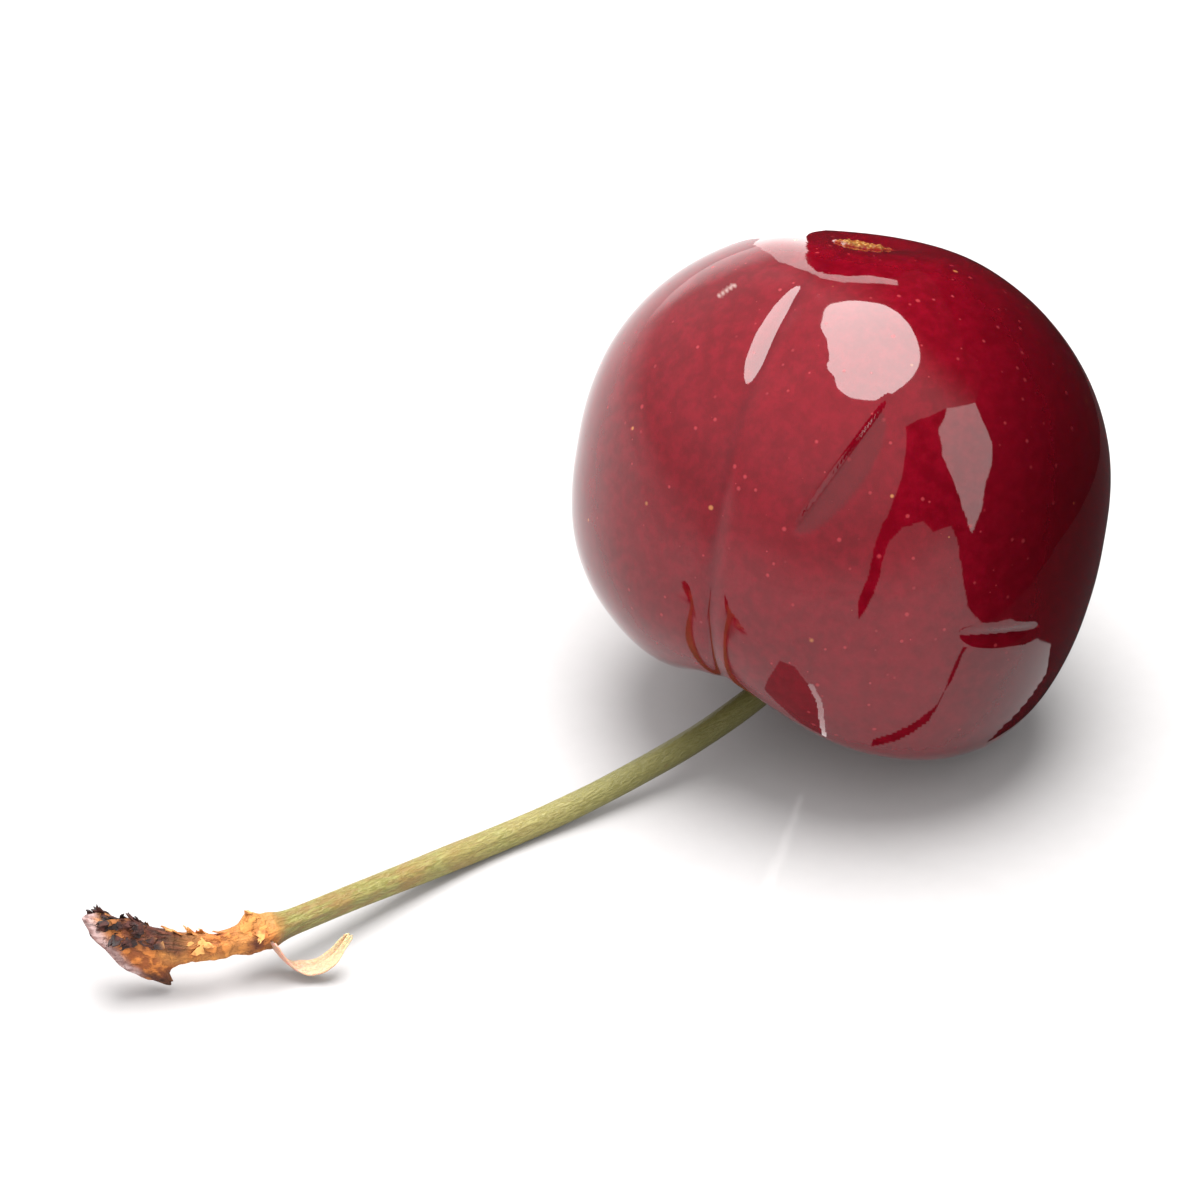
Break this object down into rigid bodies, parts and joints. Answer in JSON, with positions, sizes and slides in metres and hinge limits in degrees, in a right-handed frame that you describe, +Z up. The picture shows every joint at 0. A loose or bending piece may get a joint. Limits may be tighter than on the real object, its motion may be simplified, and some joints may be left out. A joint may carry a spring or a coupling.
{
  "type": "cherry on its stalk",
  "caption": "Sweet cherry lying on its shoulders with its bent stalk, collar, torn heel and a papery bract.",
  "frame": {"origin": "middle of the fruit's flat resting patch, on the surface it lies on", "axes": "-X from the fruit along the stalk towards the torn heel, +Z up from the surface"},
  "size_m": [0.0584, 0.0275, 0.0255],
  "materials": {
    "skin": "glossy",
    "stalk": "satin",
    "bract": "matte"
  },
  "bodies": {
    "root": {"fruit": "skin", "stalk": "stalk", "papery_bract": "bract"}
  },
  "joints": []
}
